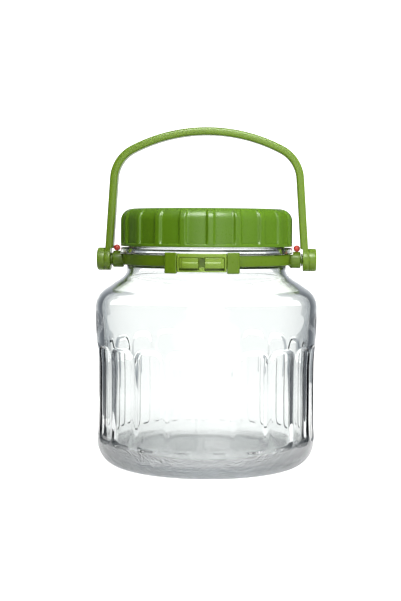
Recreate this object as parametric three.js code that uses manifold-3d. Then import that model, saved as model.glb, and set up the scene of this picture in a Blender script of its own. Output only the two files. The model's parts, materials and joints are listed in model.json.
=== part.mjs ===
// Wide-mouth glass storage jar with a ribbed screw lid, a plastic neck band with a front clasp,
// and a carry handle that swings on two pivots. Millimetres, +Z up. The origin is the centre of
// the foot, the clasp faces -Y, and the handle's pivot axis runs along X.
import * as THREE from 'three';
import { mergeVertices } from 'three/addons/utils/BufferGeometryUtils.js';
import Module from 'manifold-3d';

const wasm = await Module();
wasm.setup();

// ---------- driving dimensions ----------

// glass jar
const bodyRadius = 82.5;
const waistInset = 2;
const heelInset = 1.3;
const heelRadius = 18.5;
const footWidth = 5.5;
const basePushUp = 4;
const shoulderStart = 118;
const shoulderRadius = 17;
const shoulderSlope = THREE.MathUtils.degToRad(34);
const neckRadius = 59.3;
const neckFillet = 6;
const neckLength = 11.7;
const neckWall = 4.6;
const glassWall = 3.3;
const floorThickness = 6.5;

// flutes pressed into the jar's side
const fluteCount = 20;
const fluteDepth = 1.7;
const fluteStart = 1.5;
const fluteStop = 27;
const fluteEndRise = 6.5;
const ridgeHalfAngle = THREE.MathUtils.degToRad(1.2);

// glass collar under the lid, and the threaded finish above it
const collarProud = 4.7;
const collarHeight = 4.9;
const collarRound = 1.3;
const finishInset = 1.7;
const finishHeight = 23.9;

// screw thread shared by the glass and the lid
const threadPitch = 8;
const threadTurns = 1.25;
const threadDepth = 1.9;
const threadRootHalf = 1.5;
const threadCrestHalf = 0.8;
const threadFlankGap = 0.35;
const threadCrestGap = 0.6;
const glassThreadRise = 10;

// lid
const lidThreadGap = 0.7;
const lidWall = 2;
const ribHeight = 1.8;
const ribHalfAngle = THREE.MathUtils.degToRad(2);
const ribPhase = THREE.MathUtils.degToRad(5.5);
const ribCount = 20;
const lidTopThickness = 2.4;
const lidCornerRadius = 9;
const lidRimHeight = 2;
const lidTopRecess = 0.6;
const lidTopRim = 18;
const linerThickness = 1.5;

// neck band
const bandHeight = 7.9;
const bandThickness = 2.5;
const bandFit = 0.4;
const earRadius = 6.2;
const earLength = 7.8;

// clasp that closes the band at the front
const claspHalfWidth = 17.4;
const claspDrop = 3.6;
const claspRise = 1.5;
const claspPlate = 1.8;
const claspCheek = 1.3;
const claspRail = 1.1;
const postHalfWidth = 3.2;
const postThickness = 1.4;
const postFootHeight = 2.4;
const tabInner = 2.4;
const tabRecess = 2.1;
const tabStep = 1.1;
const tabDrop = 1.6;
const tabHeight = 7.2;
const tabThickness = 3.1;
const tabTravel = 1.4;
const blockWidth = 8.7;
const blockHeight = 14.5;
const blockOverhang = 0.4;

// carry handle
const handleRise = 97.8;
const archRadius = 122.9;
const cornerRadius = 28.6;
const legLean = THREE.MathUtils.degToRad(3.8);
const strapThickness = 5.7;
const strapWidth = 13;
const strapChamfer = 0.9;
const eyeRadius = 8.5;
const eyeThickness = 4.5;

// pivots
const pinRadius = 3.4;
const pinTailRadius = 2.6;
const pinTailLength = 7.4;
const pinCollarRadius = 4.6;
const capThickness = 5.3;
const lockPinRadius = 1;
const lockHeadRadius = 2.5;
const lockHeadHeight = 5;
const lockPinInset = 2.9;

// clearance between two pieces that rest on or pass through each other
const gap = 0.3;

// ---------- sizes that follow ----------

const waistRadius = bodyRadius - waistInset;
const heelTopRadius = bodyRadius - heelInset;
const fluteBottom = heelRadius + fluteStart;
const fluteTop = shoulderStart - fluteStop;
const mouthRadius = neckRadius - neckWall;
const collarRadius = neckRadius + collarProud;
const finishRadius = neckRadius - finishInset;

// The shoulder's slope touches the shoulder's arc and the fillet at the neck. Both arcs' centres
// are [radius, height], and the straight neck starts at the height of the fillet's centre.
const slopeNormal = Math.PI / 2 - shoulderSlope;
const shoulderCentre = [bodyRadius - shoulderRadius, shoulderStart];
const filletX = neckRadius + neckFillet;
const filletClimb = shoulderRadius + neckFillet
  + Math.cos(slopeNormal) * (shoulderCentre[0] - filletX);
const filletCentre = [filletX, shoulderStart + filletClimb / Math.sin(slopeNormal)];

const collarBottom = filletCentre[1] + neckLength;
const collarTop = collarBottom + collarHeight;
const rimTop = collarTop + finishHeight;
const lidBottom = collarTop + 2 * gap;
const linerBottom = rimTop + gap;
const lidUnderside = linerBottom + linerThickness + gap;
const lidTop = lidUnderside + lidTopThickness;
const lidBore = finishRadius + threadDepth + lidThreadGap;
const lidRadius = lidBore + lidWall + ribHeight;
const bandTop = collarBottom - gap;
const bandBottom = bandTop - bandHeight;
const bandInner = neckRadius + bandFit;
const bandOuter = bandInner + bandThickness;
const pivotZ = (bandBottom + bandTop) / 2;
const earEnd = bandOuter + earLength;
const eyeInner = earEnd + 1.5;
const eyeOuter = eyeInner + eyeThickness;
const handleTop = pivotZ + handleRise;
const lockPinX = earEnd - lockPinInset;
const plateInner = collarRadius + 0.4;
const plateOuter = plateInner + claspPlate;
const claspBottom = bandBottom - claspDrop;
const claspTop = bandTop + claspRise;
const windowHalfWidth = claspHalfWidth - claspCheek;
const windowBottom = claspBottom + claspRail;
const tabOuter = windowHalfWidth - tabRecess;
const tabBottom = windowBottom + tabDrop;
const windowTop = tabBottom + tabHeight + gap;
const tabBack = bandOuter + tabTravel + gap;

// ---------- solid helpers ----------

function signedVolume(position, index) {
  const a = new THREE.Vector3();
  const b = new THREE.Vector3();
  const c = new THREE.Vector3();
  let volume = 0;
  for (let i = 0; i < index.length; i += 3) {
    a.fromBufferAttribute(position, index[i]);
    b.fromBufferAttribute(position, index[i + 1]);
    c.fromBufferAttribute(position, index[i + 2]);
    volume += a.dot(b.cross(c)) / 6;
  }
  return volume;
}

// A closed three.js geometry becomes a manifold solid with its faces pointing out.
function toSolid(geometry) {
  const bare = geometry.clone();
  bare.deleteAttribute('normal');
  bare.deleteAttribute('uv');
  const merged = mergeVertices(bare, 1e-4);
  const kept = [];
  const index = merged.index.array;
  for (let i = 0; i < index.length; i += 3) {
    const [p, q, r] = [index[i], index[i + 1], index[i + 2]];
    if (p !== q && q !== r && r !== p) kept.push(p, q, r);
  }
  const position = merged.attributes.position;
  const triVerts = Uint32Array.from(kept);
  if (signedVolume(position, triVerts) < 0) triVerts.reverse();
  return new wasm.Manifold(new wasm.Mesh({
    numProp: 3,
    vertProperties: Float32Array.from(position.array),
    triVerts,
  }));
}

function toGeometry(solid) {
  const mesh = solid.getMesh();
  const geometry = new THREE.BufferGeometry();
  geometry.setAttribute('position', new THREE.BufferAttribute(mesh.vertProperties, 3));
  geometry.setIndex(new THREE.BufferAttribute(mesh.triVerts, 1));
  geometry.computeVertexNormals();
  return geometry;
}

function unite(first, ...others) {
  return others.reduce((sum, solid) => sum.add(solid), first);
}

// A profile of [radius, height] points turned about Z, with angle 0 at the front (-Y).
function turned(profile, segments) {
  const points = profile.map(([r, z]) => new THREE.Vector2(r, z));
  return new THREE.LatheGeometry(points, segments).rotateX(Math.PI / 2);
}

// A profile of [radius, x] points turned about the pivot axis, on the +X side.
function turnedAboutPivot(profile, segments) {
  return turned(profile, segments).rotateY(Math.PI / 2).translate(0, 0, pivotZ);
}

// Points of an arc as [radius, height] pairs, angles from the horizontal.
function arc(cx, cz, radius, from, to, steps) {
  const points = [];
  for (let i = 0; i <= steps; i += 1) {
    const a = from + ((to - from) * i) / steps;
    points.push([cx + radius * Math.cos(a), cz + radius * Math.sin(a)]);
  }
  return points;
}

// A curved slab at the front, between two radii, two x planes and two heights.
function frontSlab(rIn, rOut, x0, x1, z0, z1) {
  const angle = (x, r) => Math.asin(x / r) - Math.PI / 2;
  const shape = new THREE.Shape();
  shape.absarc(0, 0, rOut, angle(x0, rOut), angle(x1, rOut), false);
  shape.absarc(0, 0, rIn, angle(x1, rIn), angle(x0, rIn), true);
  const options = { depth: z1 - z0, bevelEnabled: false, curveSegments: 6 };
  return toSolid(new THREE.ExtrudeGeometry(shape, options).translate(0, 0, z0));
}

// A helical ridge on a cylinder: the section is extruded straight, then wound round the axis.
function threadRidge(baseRadius, side, startHeight) {
  const embed = 0.8;
  const section = new THREE.Shape([
    new THREE.Vector2(-embed, -threadRootHalf),
    new THREE.Vector2(0, -threadRootHalf),
    new THREE.Vector2(threadDepth, -threadCrestHalf),
    new THREE.Vector2(threadDepth, threadCrestHalf),
    new THREE.Vector2(0, threadRootHalf),
    new THREE.Vector2(-embed, threadRootHalf),
  ]);
  const fadeShare = 0.06;
  const steps = 45;
  const ridge = new THREE.ExtrudeGeometry(section, { depth: 1, steps, bevelEnabled: false });
  const position = ridge.attributes.position;
  for (let i = 0; i < position.count; i += 1) {
    const along = position.getZ(i);
    const fade = Math.min(1, 0.1 + Math.min(along, 1 - along) / fadeShare);
    const proud = position.getX(i) > 0 ? position.getX(i) * fade : position.getX(i);
    const radius = baseRadius + side * proud;
    const angle = along * threadTurns * 2 * Math.PI;
    const height = startHeight + threadPitch * threadTurns * along + position.getY(i);
    position.setXYZ(i, radius * Math.sin(angle), -radius * Math.cos(angle), height);
  }
  return toSolid(ridge);
}

// Moves the lathe's columns so that every repeat has a flat-topped ridge and a wide hollow.
function shapeColumns(geometry, repeats, phase, edgeAngles, hollowAt) {
  const position = geometry.attributes.position;
  const columns = repeats * edgeAngles.length;
  for (let i = 0; i < position.count; i += 1) {
    const x = position.getX(i);
    const y = position.getY(i);
    const radius = Math.hypot(x, y);
    if (radius > 1e-6) {
      const turn = (Math.atan2(x, -y) / (2 * Math.PI) + 1) % 1;
      const column = Math.round(turn * columns) % columns;
      const corner = column % edgeAngles.length;
      const repeat = (column - corner) / edgeAngles.length;
      const angle = phase + (repeat * 2 * Math.PI) / repeats + edgeAngles[corner];
      const hollow = corner >= 2 ? hollowAt(radius, position.getZ(i)) : 0;
      position.setX(i, (radius - hollow) * Math.sin(angle));
      position.setY(i, -(radius - hollow) * Math.cos(angle));
    }
  }
  return geometry;
}

// ---------- materials ----------

function material(color, roughness, options = {}) {
  return () => new THREE.MeshStandardMaterial({ color, roughness, metalness: 0, ...options });
}

const pressedGlass = material(0xdfe6e8, 0.05, { transparent: true, opacity: 0.35 });
const greenPlastic = material(0x76993a, 0.4);
const redPlastic = material(0xc45b46, 0.4);
const linerPlastic = material(0xf0f0ea, 0.6);

const jar = new THREE.Group();

function addPiece(name, solid, makeMaterial) {
  const mesh = new THREE.Mesh(toGeometry(solid), makeMaterial());
  mesh.name = name;
  jar.add(mesh);
}

// The same solid turned half round the Z axis, for the other side of the jar.
function otherSide(solid) {
  return toSolid(toGeometry(solid).rotateZ(Math.PI));
}

// ---------- glass jar ----------

// The shoulder and neck of the wall's surface, set in from the outside by an offset.
function shoulderAndNeck(offset, steps) {
  const start = Math.PI + slopeNormal;
  return [
    ...arc(...shoulderCentre, shoulderRadius - offset, 0, slopeNormal, steps),
    ...arc(...filletCentre, neckFillet + offset, start, Math.PI, steps - 1),
  ];
}

function glassJar() {
  const footOuter = heelTopRadius - heelRadius;
  const footInner = footOuter - footWidth;
  const outer = [
    [0, basePushUp],
    [footInner * 0.8, basePushUp * 0.8],
    [footInner, 0],
    ...arc(footOuter, heelRadius, heelRadius, -Math.PI / 2, 0, 4),
    [heelTopRadius, fluteBottom],
    [waistRadius + 0.4, fluteBottom + fluteEndRise],
    [waistRadius, fluteBottom + 3 * fluteEndRise],
    [waistRadius, fluteTop - 2 * fluteEndRise],
    [waistRadius + 0.5, fluteTop - fluteEndRise],
    [waistRadius + 1.2, fluteTop],
    [bodyRadius - 0.3, (fluteTop + shoulderStart) / 2],
    ...shoulderAndNeck(0, 3),
    [neckRadius, collarBottom],
    [collarRadius - collarRound, collarBottom],
    [collarRadius, collarBottom + collarRound],
    [collarRadius, collarTop - collarRound],
    [collarRadius - collarRound, collarTop],
    [finishRadius, collarTop],
    [finishRadius, rimTop - 1.2],
    [finishRadius - 0.8, rimTop],
    [0, rimTop],
  ];
  const spacing = Math.PI / fluteCount;
  const valleyHalf = spacing * 0.55;
  const edges = [-ridgeHalfAngle, ridgeHalfAngle, spacing - valleyHalf, spacing + valleyHalf];
  const inFlute = (r, z) => z > fluteBottom + 1 && z < fluteTop - 1;
  const columns = fluteCount * edges.length;
  const shell = shapeColumns(turned(outer, columns), fluteCount, 0, edges,
    (r, z) => (inFlute(r, z) ? fluteDepth : 0));

  const floor = basePushUp + floorThickness;
  const wallInner = waistRadius - fluteDepth - glassWall;
  const innerHeel = heelRadius - glassWall - 1;
  const cavity = [
    [0, floor],
    ...arc(wallInner - innerHeel, floor + innerHeel, innerHeel, -Math.PI / 2, 0, 4),
    [wallInner, fluteTop - fluteEndRise],
    [bodyRadius - neckWall, fluteTop + 2 * fluteEndRise],
    ...shoulderAndNeck(neckWall, 3),
    [mouthRadius, rimTop + 5],
    [0, rimTop + 5],
  ];
  const body = toSolid(shell).subtract(toSolid(turned(cavity, 40)));
  const thread = threadRidge(finishRadius, 1, collarTop + glassThreadRise);
  return body.add(thread);
}

addPiece('glass_jar', glassJar(), pressedGlass);

// ---------- screw lid ----------

function lidShell() {
  const cornerZ = lidTop - lidCornerRadius;
  const cornerX = lidRadius - lidCornerRadius;
  const ribStart = lidBottom + lidRimHeight;
  const profile = [
    [0, lidBottom],
    [lidRadius - 0.6, lidBottom],
    [lidRadius, lidBottom + 0.6],
    [lidRadius, ribStart],
    [lidRadius, ribStart + 0.5],
    ...arc(cornerX, cornerZ, lidCornerRadius, 0, Math.PI / 2, 4),
    [lidRadius - lidTopRim, lidTop],
    [lidRadius - lidTopRim - 1, lidTop - lidTopRecess],
    [0, lidTop - lidTopRecess],
  ];
  const repeat = (2 * Math.PI) / ribCount;
  const ribSide = THREE.MathUtils.degToRad(0.9);
  const edges = [
    -ribHalfAngle,
    ribHalfAngle,
    ribHalfAngle + ribSide,
    repeat - ribHalfAngle - ribSide,
  ];
  const hollow = (r, z) => {
    if (z <= ribStart + 0.1) return 0;
    const climb = Math.max(0, z - cornerZ) / lidCornerRadius;
    return ribHeight * Math.sqrt(Math.max(0, 1 - climb * climb));
  };
  const shell = shapeColumns(turned(profile, ribCount * edges.length), ribCount, ribPhase,
    edges, hollow);
  const bore = [
    [0, lidBottom - 5],
    [lidBore, lidBottom - 5],
    [lidBore, lidUnderside - 1],
    [lidBore - 1, lidUnderside],
    [0, lidUnderside],
  ];
  const flank = threadRootHalf + threadCrestHalf + threadFlankGap;
  const threadStart = collarTop + glassThreadRise - flank;
  const crestInset = lidBore - finishRadius - threadDepth - threadCrestGap;
  const thread = threadRidge(lidBore + crestInset, -1, threadStart);
  return toSolid(shell).subtract(toSolid(turned(bore, 60))).add(thread);
}

function lidLiner() {
  const radius = lidBore - 1 - gap;
  return toSolid(turned([
    [0, linerBottom],
    [radius, linerBottom],
    [radius, linerBottom + linerThickness],
    [0, linerBottom + linerThickness],
  ], 60));
}

addPiece('lid_shell', lidShell(), greenPlastic);
addPiece('lid_liner', lidLiner(), linerPlastic);

// ---------- neck band ----------

// The band's ring, open at the front where its two tongues stop short of the clasp's post.
function bandRing() {
  const stop = (postHalfWidth + 2 * gap) / bandInner;
  const shape = new THREE.Shape();
  shape.absarc(0, 0, bandOuter, -Math.PI / 2 + stop, 1.5 * Math.PI - stop, false);
  shape.absarc(0, 0, bandInner, 1.5 * Math.PI - stop, -Math.PI / 2 + stop, true);
  const options = { depth: bandHeight, bevelEnabled: false, curveSegments: 36 };
  return toSolid(new THREE.ExtrudeGeometry(shape, options).translate(0, 0, bandBottom));
}

// The ear is a barrel on the band, cut away where it passes under the collar. It is bored for the
// pivot pin's tail and the lock pin.
function ear() {
  const barrel = toSolid(turnedAboutPivot([
    [0, bandInner + 0.8],
    [bandHeight / 2, bandInner + 0.8],
    [earRadius - 0.5, bandOuter],
    [earRadius, bandOuter + 0.8],
    [earRadius, earEnd - 0.5],
    [earRadius - 0.5, earEnd],
    [0, earEnd],
  ], 24));
  const collarRoom = toSolid(turned([
    [0, bandTop],
    [plateInner, bandTop],
    [plateInner, bandTop + earRadius],
    [0, bandTop + earRadius],
  ], 60));
  const pinBore = turnedAboutPivot([
    [0, earEnd - pinTailLength - gap],
    [pinTailRadius + gap, earEnd - pinTailLength - gap],
    [pinTailRadius + gap, earEnd + 1],
    [0, earEnd + 1],
  ], 24);
  return { body: barrel.subtract(collarRoom), bores: [toSolid(pinBore), lockPinHole()] };
}

function lockPinHole() {
  const hole = new THREE.CylinderGeometry(lockPinRadius + gap, lockPinRadius + gap, 2 * earRadius, 12);
  return toSolid(hole.rotateX(Math.PI / 2).translate(lockPinX, 0, pivotZ + 1.2));
}

// A thick block at each end of the band stands beside the clasp and hooks up over the collar.
function endBlock() {
  const x0 = claspHalfWidth + gap;
  const x1 = x0 + blockWidth;
  const top = claspTop + blockOverhang;
  const outer = plateOuter + 0.8;
  const main = frontSlab(bandInner, outer, x0, x1, top - blockHeight, bandTop);
  const lip = frontSlab(plateInner, outer, x0, x1, bandTop - 1, top);
  return main.add(lip);
}

function mirrorX(solid) {
  const geometry = toGeometry(solid);
  geometry.scale(-1, 1, 1);
  return toSolid(geometry);
}

function neckBand() {
  const { body, bores } = ear();
  const block = endBlock();
  let band = unite(bandRing(), body, otherSide(body), block, mirrorX(block));
  for (const bore of bores) {
    band = band.subtract(bore).subtract(otherSide(bore));
  }
  return band;
}

addPiece('neck_band', neckBand(), greenPlastic);

// ---------- clasp ----------

// The clasp's curved plate carries one window for both tabs. A foot runs under the tongues and a
// post stands up from it between their ends.
function claspFrame() {
  const w = claspHalfWidth;
  const railInner = bandInner + 0.5;
  const plate = frontSlab(plateInner, plateOuter, -w, w, claspBottom, claspTop);
  const window = frontSlab(plateInner - 2, plateOuter + 2, -windowHalfWidth, windowHalfWidth,
    windowBottom, windowTop);
  const foot = frontSlab(railInner, plateInner + 0.5, -w, w, claspBottom, windowBottom);
  const post = frontSlab(railInner, railInner + postThickness, -postHalfWidth, postHalfWidth,
    windowBottom - 0.5, bandTop);
  const postFoot = frontSlab(railInner, plateOuter - 0.4, gap - tabInner, tabInner - gap,
    windowBottom - 0.5, windowBottom + postFootHeight);
  const back = frontSlab(railInner, railInner + postThickness, -w, w,
    windowBottom - 0.5, bandBottom - gap);
  const cheek = frontSlab(bandOuter + gap, plateInner + 0.5, windowHalfWidth, w,
    windowBottom - 0.5, bandTop);
  return unite(plate.subtract(window), foot, back, post, postFoot, cheek, mirrorX(cheek));
}

// The pressed pad at the end of a springy prong, with a step down at its outer side.
function claspTab() {
  const top = tabBottom + tabHeight;
  const front = tabBack + tabThickness;
  const side = windowHalfWidth - gap;
  const plate = frontSlab(tabBack, front - tabStep, tabInner, side, tabBottom, top);
  return plate.add(frontSlab(tabBack, front, tabInner, tabOuter, tabBottom, top));
}

addPiece('clasp_frame', claspFrame(), greenPlastic);
addPiece('clasp_tab_right', claspTab(), greenPlastic);
addPiece('clasp_tab_left', mirrorX(claspTab()), greenPlastic);

// ---------- carry handle ----------

// Front outline of one side of the strap, set in by an offset: leg, corner, half of the arch.
function strapSide(offset) {
  const up = new THREE.Vector2(-Math.sin(legLean), Math.cos(legLean));
  const out = new THREE.Vector2(Math.cos(legLean), Math.sin(legLean));
  const foot = new THREE.Vector2(eyeOuter, pivotZ);
  const archCentre = new THREE.Vector2(0, handleTop - archRadius);
  const start = foot.clone().addScaledVector(out, -cornerRadius);
  const fromArch = start.clone().sub(archCentre);
  const b = fromArch.dot(up);
  const c = fromArch.lengthSq() - (archRadius - cornerRadius) ** 2;
  const corner = start.addScaledVector(up, -b + Math.sqrt(b * b - c));
  const turn = corner.clone().sub(archCentre).angle();
  return [
    foot.addScaledVector(out, -offset).toArray(),
    ...arc(corner.x, corner.y, cornerRadius - offset, legLean, turn, 5),
    ...arc(archCentre.x, archCentre.y, archRadius - offset, turn, Math.PI / 2, 8).slice(1),
  ];
}

function handleStrap() {
  const mirror = (points) => points.slice(0, -1).reverse().map(([x, z]) => [-x, z]);
  const outside = strapSide(strapChamfer);
  const inside = strapSide(strapThickness - strapChamfer);
  const outline = [...outside, ...mirror(outside), ...[...inside, ...mirror(inside)].reverse()];
  const shape = new THREE.Shape(outline.map(([x, z]) => new THREE.Vector2(x, z)));
  const strap = new THREE.ExtrudeGeometry(shape, {
    depth: strapWidth - 2 * strapChamfer,
    bevelThickness: strapChamfer,
    bevelSize: strapChamfer,
    bevelSegments: 1,
  });
  strap.rotateX(Math.PI / 2).translate(0, strapWidth / 2 - strapChamfer, 0);
  return toSolid(strap);
}

function carryHandle() {
  const eye = toSolid(turnedAboutPivot([
    [0, eyeInner],
    [eyeRadius - 0.6, eyeInner],
    [eyeRadius, eyeInner + 0.6],
    [eyeRadius, eyeOuter],
    [0, eyeOuter],
  ], 32));
  const bore = toSolid(turnedAboutPivot([
    [0, eyeInner - 3],
    [pinRadius + gap, eyeInner - 3],
    [pinRadius + gap, eyeOuter + 3],
    [0, eyeOuter + 3],
  ], 24));
  const earRoom = toSolid(turnedAboutPivot([
    [0, bandInner],
    [earRadius + 4, bandInner],
    [earRadius + 4, eyeInner],
    [0, eyeInner],
  ], 32));
  const capRoom = toSolid(turnedAboutPivot([
    [0, eyeOuter],
    [eyeRadius + gap, eyeOuter],
    [eyeRadius + gap, eyeOuter + 5],
    [0, eyeOuter + 5],
  ], 32));
  let handle = handleStrap();
  for (const room of [earRoom, capRoom]) {
    handle = handle.subtract(room).subtract(otherSide(room));
  }
  handle = unite(handle, eye, otherSide(eye));
  return handle.subtract(bore).subtract(otherSide(bore));
}

addPiece('carry_handle', carryHandle(), greenPlastic);

// ---------- pivots ----------

function pivotPin() {
  const pin = toSolid(turnedAboutPivot([
    [0, earEnd - pinTailLength],
    [pinTailRadius, earEnd - pinTailLength],
    [pinTailRadius, earEnd + gap],
    [pinCollarRadius, earEnd + gap],
    [pinCollarRadius, eyeInner - gap],
    [pinRadius, eyeInner - gap],
    [pinRadius, eyeOuter + capThickness / 2],
    [0, eyeOuter + capThickness / 2],
  ], 24));
  return pin.subtract(lockPinHole());
}

// The cap covers the pin's end.
function pivotCap() {
  const inner = eyeOuter + gap;
  const outer = inner + capThickness;
  const disc = toSolid(turnedAboutPivot([
    [0, inner],
    [eyeRadius, inner],
    [eyeRadius, outer - 1],
    [eyeRadius - 1, outer],
    [0, outer],
  ], 32));
  const socket = toSolid(turnedAboutPivot([
    [0, inner - 1],
    [pinRadius + gap, inner - 1],
    [pinRadius + gap, eyeOuter + capThickness / 2 + gap],
    [0, eyeOuter + capThickness / 2 + gap],
  ], 24));
  return disc.subtract(socket);
}

// The red pin drops through the ear and the pivot pin's tail, and its domed head stays on top.
function lockPin() {
  const seat = pivotZ + earRadius + gap;
  const pin = turned([
    [0, pivotZ - 3.5],
    [lockPinRadius, pivotZ - 3.5],
    [lockPinRadius, seat],
    [0.75 * lockHeadRadius, seat],
    [lockHeadRadius, seat + 0.35 * lockHeadHeight],
    [lockHeadRadius, seat + 0.6 * lockHeadHeight],
    [0.6 * lockHeadRadius, seat + 0.92 * lockHeadHeight],
    [0, seat + lockHeadHeight],
  ], 12);
  return toSolid(pin.translate(lockPinX, 0, 0));
}

for (const [name, make, finish] of [
  ['pivot_pin', pivotPin, greenPlastic],
  ['pivot_cap', pivotCap, greenPlastic],
  ['lock_pin', lockPin, redPlastic],
]) {
  addPiece(`${name}_right`, make(), finish);
  addPiece(`${name}_left`, mirrorX(make()), finish);
}

export default jar;
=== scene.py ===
import json
from math import atan2, cos, hypot, pi, radians, sin, sqrt

import bmesh
import bpy
from mathutils import Matrix, Vector


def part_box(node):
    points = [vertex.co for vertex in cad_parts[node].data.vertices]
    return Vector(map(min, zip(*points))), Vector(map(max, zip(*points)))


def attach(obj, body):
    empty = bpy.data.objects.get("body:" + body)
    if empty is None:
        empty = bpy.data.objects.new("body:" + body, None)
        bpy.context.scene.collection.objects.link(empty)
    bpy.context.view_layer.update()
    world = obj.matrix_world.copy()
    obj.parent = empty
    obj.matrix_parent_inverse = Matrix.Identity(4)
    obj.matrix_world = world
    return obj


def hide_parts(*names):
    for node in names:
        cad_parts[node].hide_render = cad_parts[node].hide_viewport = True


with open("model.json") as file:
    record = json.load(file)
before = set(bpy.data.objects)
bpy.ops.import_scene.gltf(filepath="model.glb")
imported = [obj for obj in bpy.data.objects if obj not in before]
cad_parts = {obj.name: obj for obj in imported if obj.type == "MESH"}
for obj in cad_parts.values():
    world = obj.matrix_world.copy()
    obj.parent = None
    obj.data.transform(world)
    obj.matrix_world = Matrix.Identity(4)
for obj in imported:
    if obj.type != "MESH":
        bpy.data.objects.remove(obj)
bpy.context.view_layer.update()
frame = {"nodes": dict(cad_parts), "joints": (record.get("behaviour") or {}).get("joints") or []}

# ---------------------------------------------------------------------------------------------
# Camera. It stands about a metre away, level with the lid, a little to the right of the clasp,
# and looks slightly down.
CAMERA_DISTANCE = 0.971
CAMERA_HEIGHT = 0.176
CAMERA_TURN = radians(3.0)
CAMERA_PITCH = radians(3.15)
CAMERA_YAW = radians(0.256)
CAMERA_ROLL = radians(0.3)

camera = bpy.data.objects.new("camera", bpy.data.cameras.new("camera"))
bpy.context.collection.objects.link(camera)
bpy.context.scene.camera = camera
camera.data.lens = 77.9
camera.data.sensor_width = 36
camera.data.clip_end = 50
camera.matrix_world = (
    Matrix.Translation((
        CAMERA_DISTANCE * sin(CAMERA_TURN), -CAMERA_DISTANCE * cos(CAMERA_TURN), CAMERA_HEIGHT))
    @ Matrix.Rotation(CAMERA_TURN + CAMERA_YAW, 4, "Z")
    @ Matrix.Rotation(pi / 2 - CAMERA_PITCH, 4, "X")
    @ Matrix.Rotation(CAMERA_ROLL, 4, "Z")
)


# ---------------------------------------------------------------------------------------------
# Studio. A pale floor, an even white surround, soft lamps, a black card at the left, and an arch of dark
# cloth round the view, which gives clear glass its edges. The cloth glows as painted light, brighter towards
# its far end.
def srgb(code):
    """An sRGB hex colour as the linear values that a socket takes."""
    channels = [int(code[i:i + 2], 16) / 255 for i in (1, 3, 5)]
    return tuple(c / 12.92 if c <= 0.04045 else ((c + 0.055) / 1.055) ** 2.4 for c in channels) + (1.0,)


def add_node(tree, kind, inputs=(), **settings):
    """Adds a node. Each input is a value, or another node's output, which is linked."""
    node = tree.nodes.new(kind)
    for key, value in settings.items():
        setattr(node, key, value)
    for key, value in dict(inputs).items():
        if isinstance(value, bpy.types.NodeSocket):
            tree.links.new(value, node.inputs[key])
        else:
            node.inputs[key].default_value = value
    return node


def new_material(name):
    """An empty material with its node tree and output node."""
    material = bpy.data.materials.new(name)
    material.use_nodes = True
    material.node_tree.nodes.clear()
    return material, material.node_tree, add_node(material.node_tree, "ShaderNodeOutputMaterial")


bpy.context.scene.view_settings.view_transform = "Standard"

world = bpy.data.worlds.new("pale studio")
bpy.context.scene.world = world
world.use_nodes = True
world.node_tree.nodes.clear()
surround = add_node(world.node_tree, "ShaderNodeBackground", {"Color": srgb("#ffffff"), "Strength": 1.8})
add_node(world.node_tree, "ShaderNodeOutputWorld", {"Surface": surround.outputs[0]})


def stage_sheet(name, bm, material):
    """A mesh that belongs to the studio and not to the object."""
    mesh = bpy.data.meshes.new(name)
    bm.to_mesh(mesh)
    bm.free()
    mesh.materials.append(material)
    sheet = bpy.data.objects.new(name, mesh)
    bpy.context.collection.objects.link(sheet)
    return sheet


def floor_disc(height):
    bm = bmesh.new()
    bmesh.ops.create_circle(bm, cap_ends=True, segments=96, radius=6)
    bmesh.ops.translate(bm, vec=(0, 0, height), verts=bm.verts)
    return bm


def floor_sheet(name, code, glow_near, glow_far):
    """A sheet that glows by one strength under the object and by another past its edge; a lower glow under
    the object is painted shade.
    """
    material, tree, output = new_material(name)
    place = add_node(tree, "ShaderNodeTexCoord")
    away = add_node(tree, "ShaderNodeVectorMath", {0: place.outputs["Object"]}, operation="LENGTH")
    glow = add_node(tree, "ShaderNodeMapRange", {
        "Value": away.outputs["Value"], "From Min": 0.075, "From Max": 0.14,
        "To Min": glow_near, "To Max": glow_far}, interpolation_type="SMOOTHSTEP")
    shader = add_node(tree, "ShaderNodeBsdfPrincipled", {
        "Base Color": srgb(code),
        "Roughness": 0.9,
        "Emission Color": srgb("#ffffff"),
        "Emission Strength": glow.outputs[0],
    })
    tree.links.new(shader.outputs[0], output.inputs["Surface"])
    return material


# the camera sees a lit sheet, and everything else sees a grey one just below it, which glows as painted
# light and glows a little less under the object as painted shade
lit_acrylic = floor_sheet("opal acrylic sheet, lit from below", "#b0b0b0", 0.8, 0.8)
lit_floor = stage_sheet("lit_floor", floor_disc(0), lit_acrylic)
lit_floor.visible_diffuse = False
lit_floor.visible_glossy = False
lit_floor.visible_transmission = False
lit_floor.visible_shadow = False
# painted light and shade: this sheet glows, and glows a little less under the object, as painted shade under
# the jar
glowing_grey_card = floor_sheet("grey card with painted glow and shade", "#a8a8a8", 0.4, 0.45)
glowing_floor = stage_sheet("glowing_floor", floor_disc(-0.0002), glowing_grey_card)
glowing_floor.visible_camera = False


def softbox(name, place, aim, width, height, radiance):
    """A rectangular soft lamp, given by the brightness of its face."""
    lamp = bpy.data.lights.new(name, "AREA")
    lamp.shape = "RECTANGLE"
    lamp.size = width
    lamp.size_y = height
    lamp.energy = radiance * pi * width * height
    box = bpy.data.objects.new(name, lamp)
    bpy.context.collection.objects.link(box)
    box.location = place
    box.rotation_euler = (Vector(aim) - Vector(place)).to_track_quat("-Z", "Y").to_euler()
    box.visible_camera = False
    return box


softbox("overhead softbox", (0.0, -0.1, 1.1), (0, 0, 0.2), 0.9, 0.5, 3.5)
softbox("front softbox", (0.05, -0.62, 0.80), (0.0, -0.05, 0.19), 0.7, 0.35, 9.0)
# only glossy surfaces see this lamp
sheen = softbox("sheen softbox", (0.01, -0.19, 0.385), (0.0, -0.06, 0.19), 0.20, 0.16, 17.0)
sheen.visible_diffuse = False
sheen.visible_transmission = False
softbox("right softbox", (0.9, -0.9, 0.45), (0, 0, 0.2), 0.5, 0.8, 2.5)


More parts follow.
